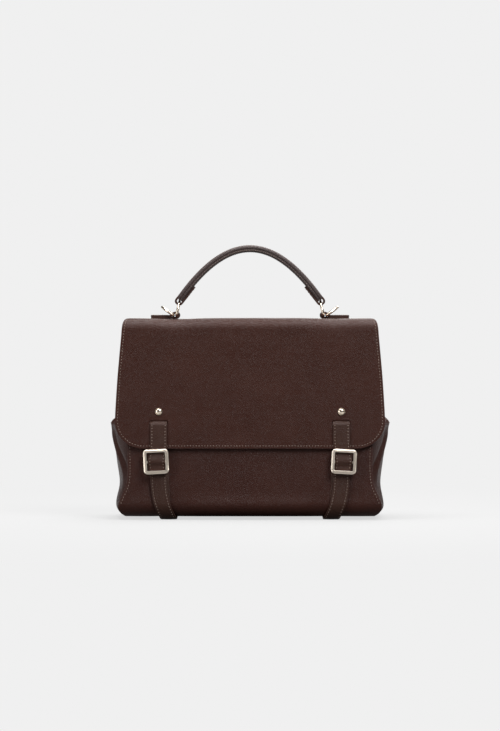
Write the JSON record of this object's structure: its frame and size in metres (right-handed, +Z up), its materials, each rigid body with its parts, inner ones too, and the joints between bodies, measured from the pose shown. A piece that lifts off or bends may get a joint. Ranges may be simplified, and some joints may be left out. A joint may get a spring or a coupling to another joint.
{
  "type": "satchel bag",
  "caption": "Structured leather satchel with a long front flap, buckled closure straps over hidden snaps, a rolled top handle on D rings and folded gussets.",
  "frame": {"origin": "centre of the whole bag's box, at the ground", "axes": "+X to the bag's right seen from the front, +Y to its back, +Z up; the flap and buckles face -Y"},
  "size_m": [0.319, 0.1254, 0.313],
  "materials": {
    "body_leather": "fine grained dark brown leather, low sheen",
    "flap_leather": "fine grained dark brown leather, low sheen",
    "strap_leather": "smooth dark brown strap leather with stitched edges",
    "tab_leather": "dark painted leather",
    "handle_leather": "dark brown leather with painted edges",
    "handle_filler": "felt filler",
    "lining_cloth": "brown cotton twill",
    "board": "stiffener board",
    "gold_metal": "polished pale gold plating"
  },
  "bodies": {
    "body": {"front_panel": "body_leather", "back_panel": "body_leather", "base_panel": "body_leather", "base_board": "board", "top_board": "board", "lining": "lining_cloth", "inner_pocket": "lining_cloth", "gusset_left": "body_leather", "gusset_right": "body_leather", "gusset_lining_left": "lining_cloth", "gusset_lining_right": "lining_cloth", "lower_strap_left": "strap_leather", "lower_strap_right": "strap_leather", "strap_backing_left": "strap_leather", "strap_backing_right": "strap_leather", "snap_socket_left": "gold_metal", "snap_socket_right": "gold_metal", "tab_left": "tab_leather", "tab_right": "tab_leather", "handle_ring_left": "gold_metal", "handle_ring_right": "gold_metal"},
    "flap": {"flap": "flap_leather", "flap_lining": "lining_cloth", "strap_root_left": "strap_leather", "strap_root_right": "strap_leather", "stud_left": "gold_metal", "stud_right": "gold_metal", "stud_back_left": "gold_metal", "stud_back_right": "gold_metal"},
    "closure_left": {"closure_strap_left": "strap_leather", "buckle_left": "gold_metal", "snap_stud_left": "gold_metal"},
    "closure_right": {"closure_strap_right": "strap_leather", "buckle_right": "gold_metal", "snap_stud_right": "gold_metal"},
    "handle": {"handle_top": "handle_leather", "handle_core": "handle_filler", "handle_underside": "handle_leather", "handle_loop_left": "handle_leather", "handle_loop_right": "handle_leather"},
    "shoulder_ring_left": {"shoulder_ring_left": "gold_metal"},
    "shoulder_ring_right": {"shoulder_ring_right": "gold_metal"}
  },
  "joints": [
    {"name": "flap_hinge", "type": "hinge", "parent": "body", "child": "flap", "pos_m": [0, -0.01661, 0.228], "axis": [-1, 0, 0], "range_deg": [0, 130]},
    {"name": "strap_left_lift", "type": "hinge", "parent": "flap", "child": "closure_left", "pos_m": [-0.104, -0.04954, 0.11129], "axis": [-1, 0, 0], "range_deg": [0, 80]},
    {"name": "strap_right_lift", "type": "hinge", "parent": "flap", "child": "closure_right", "pos_m": [0.104, -0.04954, 0.11129], "axis": [-1, 0, 0], "range_deg": [0, 80]},
    {"name": "handle_swing", "type": "hinge", "parent": "body", "child": "handle", "pos_m": [0, 0.00839, 0.23548], "axis": [1, 0, 0], "range_deg": [-36, 30]},
    {"name": "shoulder_ring_left_tilt", "type": "hinge", "parent": "body", "child": "shoulder_ring_left", "pos_m": [-0.0882, 0.00839, 0.23215], "axis": [0, 1, 0], "range_deg": [-24, 44]},
    {"name": "shoulder_ring_right_tilt", "type": "hinge", "parent": "body", "child": "shoulder_ring_right", "pos_m": [0.0882, 0.00839, 0.23215], "axis": [0, -1, 0], "range_deg": [-24, 44]}
  ]
}
